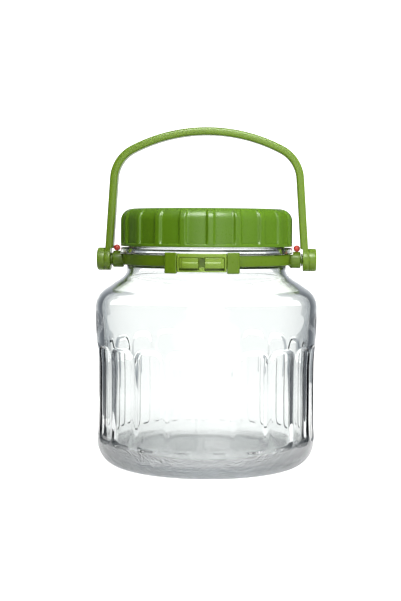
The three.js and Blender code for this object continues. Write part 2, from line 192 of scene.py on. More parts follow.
def left_card():
    """A black card at the left of the object, which keeps the surround's light off that side."""
    bm = bmesh.new()
    bmesh.ops.create_grid(bm, x_segments=1, y_segments=1, size=0.35)
    bmesh.ops.rotate(bm, verts=bm.verts, cent=(0, 0, 0), matrix=Matrix.Rotation(radians(90), 3, "Y"))
    bmesh.ops.rotate(bm, verts=bm.verts, cent=(0, 0, 0), matrix=Matrix.Rotation(radians(25), 3, "Z"))
    bmesh.ops.translate(bm, vec=(-0.26, -0.12, 0.2), verts=bm.verts)
    return bm


card_cloth, card_tree, card_output = new_material("black velvet card")
card_shader = add_node(card_tree, "ShaderNodeBsdfDiffuse", {"Color": srgb("#141414")})
card_tree.links.new(card_shader.outputs[0], card_output.inputs["Surface"])
card = stage_sheet("left_card", left_card(), card_cloth)
card.visible_camera = False
card.visible_transmission = False
card.visible_shadow = False

TUNNEL_RADIUS = 0.28
TUNNEL_NEAR = 0.30
TUNNEL_FAR = 1.90


def dark_tunnel():
    """An arch of cloth round the view, from in front of the camera to well behind the object."""
    bm = bmesh.new()
    turns = [radians(a) for a in range(-120, 121, 5)]
    verts = [bm.verts.new((TUNNEL_RADIUS * sin(a), TUNNEL_RADIUS * cos(a), -TUNNEL_NEAR)) for a in turns]
    edges = [bm.edges.new(pair) for pair in zip(verts, verts[1:])]
    made = bmesh.ops.extrude_edge_only(bm, edges=edges)["geom"]
    far = [g for g in made if isinstance(g, bmesh.types.BMVert)]
    bmesh.ops.translate(bm, vec=(0, 0, TUNNEL_NEAR - TUNNEL_FAR), verts=far)
    return bm


def cloth_with_painted_glow():
    """Black cloth that glows as painted light: dark near the camera and brighter towards its far end, in
    place of the surround's light falling on it.
    """
    material, tree, output = new_material("black flag cloth with painted glow")
    place = add_node(tree, "ShaderNodeTexCoord")
    split = add_node(tree, "ShaderNodeSeparateXYZ", {"Vector": place.outputs["Object"]})
    # painted light: the glow rises from near black at the camera end to white at the far end, standing in
    # for the surround's light on the cloth
    depth = add_node(tree, "ShaderNodeMapRange", {
        "Value": split.outputs["Z"], "From Min": -TUNNEL_NEAR, "From Max": -TUNNEL_FAR})
    tone = add_node(tree, "ShaderNodeValToRGB", {"Fac": depth.outputs[0]})
    stops = tone.color_ramp.elements
    stops[0].position, stops[0].color = 0.0, srgb("#202225")
    stops[1].position, stops[1].color = 1.0, srgb("#ffffff")
    for position, code in ((0.42, "#3b3e43"), (0.6, "#70757b"), (0.8, "#c3c8ce")):
        stop = stops.new(position)
        stop.color = srgb(code)
    glow = add_node(tree, "ShaderNodeEmission", {"Color": tone.outputs[0]})
    tree.links.new(glow.outputs[0], output.inputs["Surface"])
    return material


tunnel = stage_sheet("dark_tunnel", dark_tunnel(), cloth_with_painted_glow())
tunnel.parent = camera
tunnel.visible_camera = False
tunnel.visible_diffuse = False
tunnel.visible_shadow = False

# ---------------------------------------------------------------------------------------------
# Glass jar. Pressed soda-lime glass: a heavy pushed-up base, twenty round-ended flutes, a sloped
# shoulder, a collar, and a threaded finish with a fire-polished rim. Sizes are in millimetres.
MM = 0.001
SHARP = radians(38)


def box_mm(node):
    """A CAD node's lowest and highest corners in millimetres."""
    low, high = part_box(node)
    return Vector(low) / MM, Vector(high) / MM


def arc(centre_r, centre_z, radius, start, stop, steps):
    """Points on an arc of a profile, angles from the horizontal."""
    turns = [start + (stop - start) * i / steps for i in range(steps + 1)]
    return [(centre_r + radius * cos(a), centre_z + radius * sin(a)) for a in turns]


def line(start, stop, steps):
    """Points from start to stop, both ends included."""
    return [tuple(a + (b - a) * i / steps for a, b in zip(start, stop)) for i in range(steps + 1)]


def ease(value, low, high):
    """Goes smoothly from 0 at low to 1 at high."""
    share = min(1.0, max(0.0, (value - low) / (high - low)))
    return share * share * (3 - 2 * share)


def turned(profile, columns):
    """A profile of (radius, height) points, spun about Z from the front. It ends on the axis."""
    bm = bmesh.new()
    verts = [bm.verts.new((0, -r, z)) for r, z in profile]
    edges = [bm.edges.new(pair) for pair in zip(verts, verts[1:])]
    bmesh.ops.spin(bm, geom=verts + edges, cent=(0, 0, 0), axis=(0, 0, 1), dvec=(0, 0, 0),
                   angle=2 * pi, steps=columns, use_merge=True, use_duplicate=False)
    bmesh.ops.remove_doubles(bm, verts=bm.verts, dist=1e-4)
    bmesh.ops.recalc_face_normals(bm, faces=bm.faces)
    return bm


def finished(bm, name, body, node, material, sharp=SHARP):
    """Turns a bmesh in millimetres into the piece that stands for a CAD node."""
    bmesh.ops.scale(bm, vec=(MM, MM, MM), verts=bm.verts)
    for face in bm.faces:
        face.smooth = True
    for edge in bm.edges:
        edge.smooth = not edge.is_manifold or edge.calc_face_angle(0) < sharp
    mesh = bpy.data.meshes.new(name)
    bm.to_mesh(mesh)
    bm.free()
    mesh.materials.append(material)
    piece = bpy.data.objects.new(name, mesh)
    bpy.context.collection.objects.link(piece)
    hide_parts(node)
    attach(piece, body)
    return piece


jar_high = box_mm("glass_jar")[1]
BODY_RADIUS = jar_high.x
RIM_TOP = jar_high.z
WAIST_RADIUS = BODY_RADIUS - 2
HEEL_TOP_RADIUS = BODY_RADIUS - 1.3
HEEL_RADIUS = 18.5
FOOT_WIDTH = 5.5
PUSH_UP = 4
FLOOR_THICKNESS = 6.5
SHOULDER_START = 118
SHOULDER_RADIUS = 17
SHOULDER_SLOPE = radians(34)
NECK_RADIUS = 59.3
NECK_FILLET = 6
NECK_WALL = 4.6
GLASS_WALL = 3.3
COLLAR_RADIUS = NECK_RADIUS + 4.7
COLLAR_ROUND = 1.3
COLLAR_TOP = RIM_TOP - 23.9
COLLAR_BOTTOM = COLLAR_TOP - 4.9
FINISH_RADIUS = NECK_RADIUS - 1.7
MOUTH_RADIUS = NECK_RADIUS - NECK_WALL

FLUTES = 20
FLUTE_BOTTOM = 20
FLUTE_TOP = 91
FLUTE_DEPTH = 1.5
FLUTE_EDGE = 2.0
FLUTE_CORNER = 7.5
RIDGE_HALF_WIDTH = 1.1

STUD_PITCH = 3.8
STUD_HEIGHT = 0.7

THREAD_PITCH = 8
THREAD_TURNS = 1.25
THREAD_DEPTH = 1.9
THREAD_ROOT_HALF = 1.5
THREAD_CREST_HALF = 0.8
THREAD_START = COLLAR_TOP + 10


def thread_height(angle, z, start):
    """How far a thread stands proud at an angle from the front and a height."""
    for turn in range(3):
        along = (angle / (2 * pi) + turn) / THREAD_TURNS
        if 0 <= along <= 1:
            away = abs(z - start - THREAD_PITCH * THREAD_TURNS * along)
            flank = 1 - ease(away, THREAD_CREST_HALF, THREAD_ROOT_HALF)
            fade = ease(min(along, 1 - along), -0.01, 0.06)
            if flank > 0:
                return THREAD_DEPTH * flank * fade
    return 0.0


def flute_depth(angle, z):
    """How deep the outside is pressed in. A ridge stands at the front, and flutes between ridges."""
    pitch = 2 * pi / FLUTES
    half_width = WAIST_RADIUS * pitch / 2 - RIDGE_HALF_WIDTH
    turn = (angle % pitch) - pitch / 2
    past_side = abs(WAIST_RADIUS * turn) - (half_width - FLUTE_CORNER)
    past_end = max(z - (FLUTE_TOP - FLUTE_CORNER), FLUTE_BOTTOM + FLUTE_CORNER - z)
    outside = hypot(max(0.0, past_side), max(0.0, past_end)) + min(0.0, max(past_side, past_end))
    run_out = 0.25 * (ease(z, FLUTE_TOP - 18, FLUTE_TOP) + 1 - ease(z, FLUTE_BOTTOM, FLUTE_BOTTOM + 12))
    flat = FLUTE_DEPTH * (1 - run_out) - WAIST_RADIUS * (1 / cos(turn) - 1)
    return flat * ease(FLUTE_CORNER - outside, 0, FLUTE_EDGE)


def outside_radius(z):
    """The jar's side between the heel and the shoulder, over the ridges."""
    heel = (HEEL_TOP_RADIUS - WAIST_RADIUS) * (1 - ease(z, HEEL_RADIUS, 38))
    swell = (BODY_RADIUS - WAIST_RADIUS) * ease(z, 74, 108)
    return WAIST_RADIUS + heel + swell


def shoulder_and_neck(offset, steps):
    """The shoulder's arc and the neck's fillet, set in from the outside by an offset."""
    normal = pi / 2 - SHOULDER_SLOPE
    arc_r = BODY_RADIUS - SHOULDER_RADIUS
    fillet_r = NECK_RADIUS + NECK_FILLET
    climb = SHOULDER_RADIUS + NECK_FILLET + cos(normal) * (arc_r - fillet_r)
    fillet_z = SHOULDER_START + climb / sin(normal)
    shoulder = arc(arc_r, SHOULDER_START, SHOULDER_RADIUS - offset, 0, normal, steps)
    fillet = arc(fillet_r, fillet_z, NECK_FILLET + offset, pi + normal, pi, steps // 2)
    return shoulder + line(shoulder[-1], fillet[0], 6)[1:-1] + fillet


def rows(low, high, step):
    """Heights from low to high, about a step apart, without the first."""
    count = max(1, round((high - low) / step))
    return [low + (high - low) * i / count for i in range(1, count + 1)]


def glass_profile():
    foot_outer = HEEL_TOP_RADIUS - HEEL_RADIUS
    foot_inner = foot_outer - FOOT_WIDTH
    underside = [(r, PUSH_UP * (1 - (r / foot_inner) ** 6)) for r in [0.0] + rows(0, foot_inner, 0.8)]
    heel = arc(foot_outer, HEEL_RADIUS, HEEL_RADIUS, -pi / 2, 0, 14)
    side = rows(HEEL_RADIUS, 34, 0.9) + rows(34, 76, 3) + rows(76, 94, 0.9)
    side += rows(94, SHOULDER_START, 3)[:-1]
    collar = arc(COLLAR_RADIUS - COLLAR_ROUND, COLLAR_BOTTOM + COLLAR_ROUND, COLLAR_ROUND, -pi / 2, 0, 5)
    collar += arc(COLLAR_RADIUS - COLLAR_ROUND, COLLAR_TOP - COLLAR_ROUND, COLLAR_ROUND, 0, pi / 2, 5)
    rim_half = (FINISH_RADIUS - MOUTH_RADIUS) / 2
    rim_z = RIM_TOP - rim_half
    finish = line((FINISH_RADIUS, COLLAR_TOP + 0.5), (FINISH_RADIUS, rim_z), 42)
    rim = arc(FINISH_RADIUS - rim_half, rim_z, rim_half, 0, pi, 8)[1:]
    outside = (
        underside + heel + [(outside_radius(z), z) for z in side] + shoulder_and_neck(0, 14)
        + [(NECK_RADIUS, COLLAR_BOTTOM - 0.6), (NECK_RADIUS + 0.6, COLLAR_BOTTOM)] + collar
        + [(FINISH_RADIUS + 0.5, COLLAR_TOP)] + finish + rim
    )
    wall = WAIST_RADIUS - FLUTE_DEPTH - GLASS_WALL
    heel_inside = HEEL_RADIUS - GLASS_WALL - 1
    floor_z = PUSH_UP + FLOOR_THICKNESS
    wall_top = BODY_RADIUS - NECK_WALL
    inner_side = [(wall + (wall_top - wall) * ease(z, 80, SHOULDER_START), z)
                  for z in rows(floor_z + heel_inside, SHOULDER_START, 5)[:-1]]
    inside = (
        [(0, floor_z), (20, floor_z), (40, floor_z)]
        + arc(wall - heel_inside, floor_z + heel_inside, heel_inside, -pi / 2, 0, 10)
        + inner_side + shoulder_and_neck(NECK_WALL, 10)
    )
    return outside + inside[::-1]


def glass_jar():
    bm = turned(glass_profile(), 360)
    foot_inner = HEEL_TOP_RADIUS - HEEL_RADIUS - FOOT_WIDTH
    for vert in bm.verts:
        x, y, z = vert.co
        radius, angle = hypot(x, y), atan2(x, -y) % (2 * pi)
        moved = radius
        if radius > WAIST_RADIUS - 1 and FLUTE_BOTTOM < z < FLUTE_TOP:
            moved = radius - flute_depth(angle, z)
        elif abs(radius - FINISH_RADIUS) < 1e-3 and z > COLLAR_TOP:
            moved = radius + thread_height(angle, z, THREAD_START)
        elif z < PUSH_UP + 0.1 and 4 < radius < foot_inner - 4:
            studs = round(2 * pi * round(radius / STUD_PITCH))
            vert.co.z += STUD_HEIGHT * cos(2 * pi * radius / STUD_PITCH) * cos(studs * angle)
        if radius > 1e-6:
            vert.co.x *= moved / radius
            vert.co.y *= moved / radius
    return bm


def pressed_glass():
    """Soda-lime glass, pressed and fire polished. Clear, with a faint grey-green in thick places,
    and very slow ripples where the mould chilled it."""
    material, tree, output = new_material("pressed soda-lime glass")
    place = add_node(tree, "ShaderNodeTexCoord")
    # chill ripples are 12 to 20 mm across
    ripple = add_node(tree, "ShaderNodeTexNoise", {
        "Vector": place.outputs["Object"], "Scale": 1 / (16 * MM), "Detail": 1.0, "Roughness": 0.4})
    bump = add_node(tree, "ShaderNodeBump", {
        "Height": ripple.outputs["Fac"], "Strength": 0.1, "Distance": 0.6 * MM})
    # the stippled base is pebbled about 3 mm apart, up to 12 mm above the table
    split = add_node(tree, "ShaderNodeSeparateXYZ", {"Vector": place.outputs["Object"]})
    low = add_node(tree, "ShaderNodeMapRange", {
        "Value": split.outputs["Z"], "From Min": 9 * MM, "From Max": 13 * MM, "To Min": 1.0, "To Max": 0.0})
    pebble = add_node(tree, "ShaderNodeTexNoise", {
        "Vector": place.outputs["Object"], "Scale": 1 / (2.6 * MM), "Detail": 2.0, "Roughness": 0.6})
    stipple = add_node(tree, "ShaderNodeBump", {
        "Height": pebble.outputs["Fac"], "Strength": low.outputs[0], "Distance": 2.4 * MM,
        "Normal": bump.outputs[0]})
    shader = add_node(tree, "ShaderNodeBsdfPrincipled", {
        "Base Color": srgb("#fbfdfc"),
        "Roughness": 0.0,
        "IOR": 1.52,
        "Transmission Weight": 1.0,
        "Normal": stipple.outputs[0],
    })
    tree.links.new(shader.outputs[0], output.inputs["Surface"])
    absorption = add_node(tree, "ShaderNodeVolumeAbsorption", {"Color": srgb("#b9c4cc"), "Density": 8.0})
    tree.links.new(absorption.outputs[0], output.inputs["Volume"])
    return material


jar = finished(glass_jar(), "pressed_glass_jar", "jar", "glass_jar", pressed_glass(), radians(80))
jar.visible_shadow = False

# ---------------------------------------------------------------------------------------------
# Neck band. One strip of injection-moulded polypropylene round the neck under the collar, open at
# the front, with a thick block at each end and a barrel-shaped ear on each side.
band_low, band_high = box_mm("neck_band")
handle_joint = next(j for j in frame["joints"] if j["name"] == "handle_swing")
PIVOT_Z = handle_joint["pos_m"][2] / MM
GAP = 0.3
BAND_INNER = NECK_RADIUS + 0.4
BAND_OUTER = BAND_INNER + 2.5
BAND_TOP = COLLAR_BOTTOM - GAP
BAND_BOTTOM = 2 * PIVOT_Z - BAND_TOP
EAR_END = band_high.x
EAR_RADIUS = 6.2
CLASP_HALF_WIDTH = 17.4
BLOCK_WIDTH = 8.7
POST_HALF_WIDTH = 3.2
PIN_TAIL_RADIUS = 2.6
LOCK_PIN_X = EAR_END - 2.9
PLATE_INNER = COLLAR_RADIUS + 0.4
PLATE_OUTER = PLATE_INNER + 1.8


def rounded_box_profile(r0, r1, z0, z1, rounding):
    """A closed section with rounded corners."""
    corners = [(r1, z0, -pi / 2, 0), (r1, z1, 0, pi / 2), (r0, z1, pi / 2, pi), (r0, z0, pi, 1.5 * pi)]
    points = []
    for r, z, start, stop in corners:
        centre_r = r - rounding if r == r1 else r + rounding
        centre_z = z - rounding if z == z1 else z + rounding
        points += arc(centre_r, centre_z, rounding, start, stop, 3)
    return points


def ring(section, start, stop, steps):
    """A closed section swept about Z between two angles from the front, its ends filled."""
    bm = bmesh.new()
    verts = [bm.verts.new((0, -r, z)) for r, z in section]
    edges = [bm.edges.new(pair) for pair in zip(verts, verts[1:] + verts[:1])]
    bmesh.ops.rotate(bm, verts=verts, cent=(0, 0, 0), matrix=Matrix.Rotation(start, 3, "Z"))
    bmesh.ops.spin(bm, geom=verts + edges, cent=(0, 0, 0), axis=(0, 0, 1), dvec=(0, 0, 0),
                   angle=stop - start, steps=steps, use_merge=False, use_duplicate=False)
    bmesh.ops.holes_fill(bm, edges=[e for e in bm.edges if e.is_boundary], sides=0)
    bmesh.ops.recalc_face_normals(bm, faces=bm.faces)
    return bm


def pivot_turned(profile, side, columns=48):
    """A profile of (radius, distance from the jar's axis) points, spun about the pivot axis."""
    bm = bmesh.new()
    verts = [bm.verts.new((side * x, 0, r)) for r, x in profile]
    edges = [bm.edges.new(pair) for pair in zip(verts, verts[1:])]
    bmesh.ops.spin(bm, geom=verts + edges, cent=(0, 0, 0), axis=(1, 0, 0), dvec=(0, 0, 0),
                   angle=2 * pi, steps=columns, use_merge=True, use_duplicate=False)
    bmesh.ops.translate(bm, vec=(0, 0, PIVOT_Z), verts=bm.verts)
    bmesh.ops.remove_doubles(bm, verts=bm.verts, dist=1e-4)
    bmesh.ops.recalc_face_normals(bm, faces=bm.faces)
    return bm


def bevel_sharp(bm, width, segments=3, angle=radians(50)):
    """Rounds every edge that turns by more than an angle."""
    edges = [e for e in bm.edges if e.is_manifold and e.calc_face_angle(0) > angle]
    bmesh.ops.bevel(bm, geom=edges, offset=width, offset_type="OFFSET", affect="EDGES",
                    segments=segments, profile=0.5, material=-1, clamp_overlap=True)


def front_slab(r0, r1, x0, x1, z0, z1, rounding, columns=10, levels=1):
    """A slab that follows the neck's curve at the front, its sides square to X."""
    bm = bmesh.new()
    bmesh.ops.create_grid(bm, x_segments=columns, y_segments=levels, size=0.5)
    bmesh.ops.transform(bm, verts=bm.verts, matrix=(
        Matrix.Translation(((x0 + x1) / 2, r0, (z0 + z1) / 2))
        @ Matrix.Rotation(pi / 2, 4, "X") @ Matrix.Diagonal((x1 - x0, z1 - z0, 1, 1))))
    made = bmesh.ops.extrude_face_region(bm, geom=bm.faces[:])["geom"]
    far = [v for v in made if isinstance(v, bmesh.types.BMVert)]
    bmesh.ops.translate(bm, vec=(0, r1 - r0, 0), verts=far)
    bmesh.ops.recalc_face_normals(bm, faces=bm.faces)
    if rounding:
        bevel_sharp(bm, rounding)
    for vert in bm.verts:
        vert.co.y = -sqrt(vert.co.y ** 2 - vert.co.x ** 2)
    bmesh.ops.recalc_face_normals(bm, faces=bm.faces)
    return bm


def combined(operation, first, *others):
    """Joins or cuts closed meshes, and gives the result as one closed mesh."""
    scratch = []
    for bm in (first, *others):
        mesh = bpy.data.meshes.new("scratch")
        bm.to_mesh(mesh)
        bm.free()
        made = bpy.data.objects.new("scratch", mesh)
        bpy.context.collection.objects.link(made)
        scratch.append(made)
    for other in scratch[1:]:
        modifier = scratch[0].modifiers.new("cut", "BOOLEAN")
        modifier.operation = operation
        modifier.solver = "EXACT"
        modifier.object = other
    result = bmesh.new()
    result.from_object(scratch[0], bpy.context.evaluated_depsgraph_get())
    for made in scratch:
        mesh = made.data
        bpy.data.objects.remove(made)
        bpy.data.meshes.remove(mesh)
    bmesh.ops.remove_doubles(result, verts=result.verts, dist=1e-3)
    return result


def neck_band():
    stop = (POST_HALF_WIDTH + 2 * GAP) / BAND_INNER
    section = rounded_box_profile(BAND_INNER, BAND_OUTER, BAND_BOTTOM, BAND_TOP, 0.7)
    strip = ring(section, stop, 2 * pi - stop, 144)
    barrel = [(0, BAND_INNER + 0.8), (BAND_TOP - PIVOT_Z, BAND_INNER + 0.8)]
    barrel += arc(EAR_RADIUS - 0.9, BAND_OUTER + 0.6, 0.9, -pi / 2, 0, 4)
    barrel += arc(EAR_RADIUS - 0.9, EAR_END - 0.9, 0.9, 0, pi / 2, 4) + [(0, EAR_END)]
    collar_room = [(0, BAND_TOP), (PLATE_INNER, BAND_TOP), (PLATE_INNER, BAND_TOP + 8), (0, BAND_TOP + 8)]
    bore_radius, bore_end = PIN_TAIL_RADIUS + GAP, EAR_END - 7.7
    bore = [(0, bore_end), (bore_radius, bore_end), (bore_radius, EAR_END + 1), (0, EAR_END + 1)]
    parts = [strip]
    cuts = []
    top = band_high.z
    for side in (-1, 1):
        parts.append(combined("DIFFERENCE", pivot_turned(barrel, side), turned(collar_room, 144)))
        x0, x1 = sorted((side * (CLASP_HALF_WIDTH + GAP), side * (CLASP_HALF_WIDTH + GAP + BLOCK_WIDTH)))
        parts.append(front_slab(BAND_INNER, PLATE_OUTER + 0.8, x0, x1, band_low.z, BAND_TOP, 0.8))
        parts.append(front_slab(PLATE_INNER, PLATE_OUTER + 0.8, x0, x1, band_low.z + 1, top, 0.8))
        cuts.append(pivot_turned(bore, side, 32))
        hole = turned([(0, PIVOT_Z - 4), (1.3, PIVOT_Z - 4), (1.3, PIVOT_Z + 9), (0, PIVOT_Z + 9)], 24)
        bmesh.ops.translate(hole, vec=(side * LOCK_PIN_X, 0, 0), verts=hole.verts)
        cuts.append(hole)
    return combined("DIFFERENCE", combined("UNION", *parts), *cuts)


def moulded_polypropylene(name, code, grain=0.35):
    """Polypropylene, injection moulded in a lightly polished tool. Satin gloss, slightly waxy,
    with faint flow marks and a fine grain."""
    material, tree, output = new_material(name)
    place = add_node(tree, "ShaderNodeTexCoord").outputs["Object"]
    # flow marks are about 20 mm long; the tool's grain is near 0.5 mm
    flow = add_node(tree, "ShaderNodeTexNoise", {
        "Vector": place, "Scale": 1 / (20 * MM), "Detail": 3.0, "Distortion": 0.8})
    fine = add_node(tree, "ShaderNodeTexNoise", {"Vector": place, "Scale": 1 / (0.7 * MM), "Detail": 2.0})
    base = srgb(code)
    tint = add_node(tree, "ShaderNodeMix", {
        "Factor": flow.outputs["Fac"],
        "A": tuple(c * 0.93 for c in base[:3]) + (1.0,),
        "B": tuple(min(1.0, c * 1.06) for c in base[:3]) + (1.0,),
    }, data_type="RGBA")
    dull = add_node(tree, "ShaderNodeMapRange", {
        "Value": fine.outputs["Fac"], "From Min": 0.3, "From Max": 0.7, "To Min": 0.26, "To Max": 0.36})
    bump = add_node(tree, "ShaderNodeBump", {
        "Height": fine.outputs["Fac"], "Strength": grain, "Distance": 0.02 * MM})
    shader = add_node(tree, "ShaderNodeBsdfPrincipled", {
        "Roughness": dull.outputs[0],
        "IOR": 1.49,
        "Specular IOR Level": 0.4,
        "Subsurface Weight": 0.06,
        "Subsurface Radius": (0.6, 1.0, 0.3),
        "Subsurface Scale": 1.5 * MM,
        "Normal": bump.outputs[0],
    })
    tree.links.new(tint.outputs["Result"], shader.inputs["Base Color"])
    tree.links.new(shader.outputs[0], output.inputs["Surface"])
    return material


band_plastic = moulded_polypropylene("moss green polypropylene, band", "#4f690c")
finished(neck_band(), "moulded_neck_band", "jar", "neck_band", band_plastic)

# ---------------------------------------------------------------------------------------------
# Clasp. A curved moulded frame that hooks under the band's two tongues, with a post between them.
# Its window shows the pressed pad at each tongue's springy end.
clasp_low, clasp_high = box_mm("clasp_frame")
tab_low, tab_high = box_mm("clasp_tab_right")
CLASP_WALL = 1.3
WINDOW_HALF_WIDTH = CLASP_HALF_WIDTH - CLASP_WALL
WINDOW_BOTTOM = clasp_low.z + 1.1
WINDOW_TOP = tab_high.z + GAP
TAB_BACK = PLATE_INNER - 0.5
TAB_FRONT = TAB_BACK + 3.1
TAB_STEP = 1.1
PAD_OUTER = WINDOW_HALF_WIDTH - 2.1
PAD_RECESS = 0.5


def clasp_frame():
    w = CLASP_HALF_WIDTH
    bottom, top = clasp_low.z, clasp_high.z
    inner = BAND_INNER + 0.5
    foot = tab_low.x - GAP
    bars = [
        front_slab(PLATE_INNER, PLATE_OUTER, -w, w, WINDOW_TOP, top, 0.45, 24),
        front_slab(inner, PLATE_OUTER, -w, w, bottom, WINDOW_BOTTOM, 0.45, 24),
        front_slab(inner, inner + 1.4, -w, w, bottom + 0.6, BAND_BOTTOM - GAP, 0.2, 24),
        front_slab(inner, inner + 1.4, -POST_HALF_WIDTH, POST_HALF_WIDTH, bottom + 0.6, BAND_TOP, 0.2, 4),
        front_slab(inner, PLATE_OUTER - 0.4, -foot, foot, bottom + 0.6, WINDOW_BOTTOM + 2.4, 0.4, 4),
    ]
    for side in (-1, 1):
        x0, x1 = sorted((side * WINDOW_HALF_WIDTH, side * w))
        bars.append(front_slab(PLATE_INNER, PLATE_OUTER, x0, x1, bottom, top, 0.4, 2))
        bars.append(front_slab(BAND_OUTER + GAP, PLATE_INNER + 0.5, x0, x1, bottom + 0.6, BAND_TOP, 0.2, 2))
    return combined("UNION", *bars)


def clasp_tab(side):
    low, high = tab_low.z, tab_high.z
    x0, x1 = sorted((side * tab_low.x, side * PAD_OUTER))
    pad = front_slab(TAB_BACK, TAB_FRONT, x0, x1, low, high, 0.45, 12, 24)
    step_z = low + 0.55 * (high - low)
    for vert in pad.verts:
        forward = ease(hypot(vert.co.x, vert.co.y), TAB_BACK, TAB_FRONT - 0.5)
        pressed = PAD_RECESS * ease(vert.co.z, step_z - 0.4, step_z + 0.4)
        belly = 0.3 * (1 - ease(vert.co.z, low, low + 2.2))
        vert.co.y += (pressed + belly) * forward
    x0, x1 = sorted((side * tab_low.x, side * tab_high.x))
    return combined("UNION", front_slab(TAB_BACK, TAB_FRONT - TAB_STEP, x0, x1, low, high, 0.35), pad)


clasp_plastic = moulded_polypropylene("moss green polypropylene, clasp", "#667f22")
finished(clasp_frame(), "moulded_clasp_frame", "jar", "clasp_frame", clasp_plastic)
for side, name in ((-1, "left"), (1, "right")):
    finished(clasp_tab(side), "clasp_pad_" + name, "tab_" + name, "clasp_tab_" + name,
             clasp_plastic)

# ---------------------------------------------------------------------------------------------
# Screw lid. A deep moulded polypropylene cap, with twenty upright finger ribs, a rounded top
# corner, a shallow recess in its top, and one thread inside. A foam liner is held under its top.
lid_low, lid_high = box_mm("lid_shell")
LID_RADIUS = lid_high.x
LID_TOP = lid_high.z
LID_BOTTOM = lid_low.z
LID_CORNER = 9
LID_BORE = LID_RADIUS - 3.8
LID_UNDERSIDE = LID_TOP - 2.4
LID_RIM = 2
RIBS = 20
RIB_PHASE = radians(5.5)
RIB_HEIGHT = 1.8
RIB_COLUMNS = [radians(a) for a in (0, 0.7, 1.3, 1.7, 2.1, 2.5, 2.9, 3.4, 4.6, 6.4)]
LID_THREAD_START = THREAD_START - THREAD_ROOT_HALF - THREAD_CREST_HALF - 0.35


def lid_profile():
    corner_z = LID_TOP - LID_CORNER
    corner_r = LID_RADIUS - LID_CORNER
    rib_start = LID_BOTTOM + LID_RIM
    recess_r = LID_RADIUS - 18
    inside = [(LID_BORE, z) for z in rows(LID_BOTTOM + 0.5, LID_UNDERSIDE - 1.2, 0.5)]
    return (
        [(0, LID_UNDERSIDE), (LID_BORE - 1.2, LID_UNDERSIDE)]
        + inside[::-1]
        + [(LID_BORE + 0.4, LID_BOTTOM), (LID_RADIUS - 0.7, LID_BOTTOM)]
        + arc(LID_RADIUS - 0.7, LID_BOTTOM + 0.7, 0.7, -pi / 2, 0, 3)[1:]
        + [(LID_RADIUS, rib_start - 0.3), (LID_RADIUS, rib_start), (LID_RADIUS, rib_start + 0.4)]
        + [(LID_RADIUS, z) for z in rows(rib_start + 1, corner_z, 3)]
        + arc(corner_r, corner_z, LID_CORNER, 0, pi / 2, 16)[1:]
        + [(recess_r + 0.5, LID_TOP), (recess_r, LID_TOP - 0.1), (recess_r - 0.6, LID_TOP - 0.5)]
        + [(recess_r - 1.1, LID_TOP - 0.6), (24, LID_TOP - 0.6), (0, LID_TOP - 0.6)]
    )


def screw_lid():
    steps = 2 * len(RIB_COLUMNS)
    spots = [-a for a in RIB_COLUMNS[:0:-1]] + RIB_COLUMNS + [pi / RIBS]
    bm = turned(lid_profile(), RIBS * steps)
    corner_z = LID_TOP - LID_CORNER
    for vert in bm.verts:
        x, y, z = vert.co
        radius = hypot(x, y)
        if radius < 1e-6:
            continue
        column = round((atan2(x, -y) % (2 * pi)) / (2 * pi) * RIBS * steps)
        spot = spots[column % steps]
        angle = RIB_PHASE + column // steps * 2 * pi / RIBS + spot
        inside = radius < LID_BORE and z < LID_UNDERSIDE + 0.1
        if abs(radius - LID_BORE) < 1e-3:
            radius -= 0.95 * thread_height(angle % (2 * pi), z, LID_THREAD_START)
        elif not inside and z > LID_BOTTOM + LID_RIM - 0.1 and radius > LID_RADIUS - LID_CORNER:
            climb = max(0.0, z - corner_z) / LID_CORNER
            start = ease(z, LID_BOTTOM + LID_RIM - 0.1, LID_BOTTOM + LID_RIM + 0.5)
            between = ease(abs(spot), radians(1.5), radians(3.2))
            radius -= RIB_HEIGHT * start * between * sqrt(max(0.0, 1 - climb ** 2))
        vert.co.x = radius * sin(angle)
        vert.co.y = -radius * cos(angle)
    return bm


lid_plastic = moulded_polypropylene("moss green polypropylene, lid", "#48690c")
finished(screw_lid(), "moulded_screw_lid", "lid", "lid_shell", lid_plastic, radians(60))


def liner_foam():
    """Expanded polyethylene sheet, die cut. White and matt, with a very fine closed-cell grain."""
    material, tree, output = new_material("white expanded polyethylene")
    place = add_node(tree, "ShaderNodeTexCoord").outputs["Object"]
    cells = add_node(tree, "ShaderNodeTexVoronoi", {"Vector": place, "Scale": 1 / (0.6 * MM)})
    bump = add_node(tree, "ShaderNodeBump", {
        "Height": cells.outputs["Distance"], "Strength": 0.4, "Distance": 0.05 * MM})
    shader = add_node(tree, "ShaderNodeBsdfPrincipled", {
        "Base Color": srgb("#eeeeea"), "Roughness": 0.75, "Normal": bump.outputs[0]})
    tree.links.new(shader.outputs[0], output.inputs["Surface"])
    return material


frame["nodes"]["lid_liner"].material_slots[0].material = liner_foam()

# ---------------------------------------------------------------------------------------------
# Carry handle. A moulded polypropylene strap, arched over the lid, with a round eye at each end
# that turns on the pivot pin.
handle_high = box_mm("carry_handle")[1]
HANDLE_TOP = handle_high.z
ARCH_RADIUS = 122.9
CORNER_RADIUS = 28.6
LEG_LEAN = radians(3.8)
STRAP_THICKNESS = 5.7
STRAP_WIDTH = 13
EYE_RADIUS = 8.5
EYE_INNER = EAR_END + 1.5
EYE_OUTER = EYE_INNER + 4.5
PIN_RADIUS = 3.4


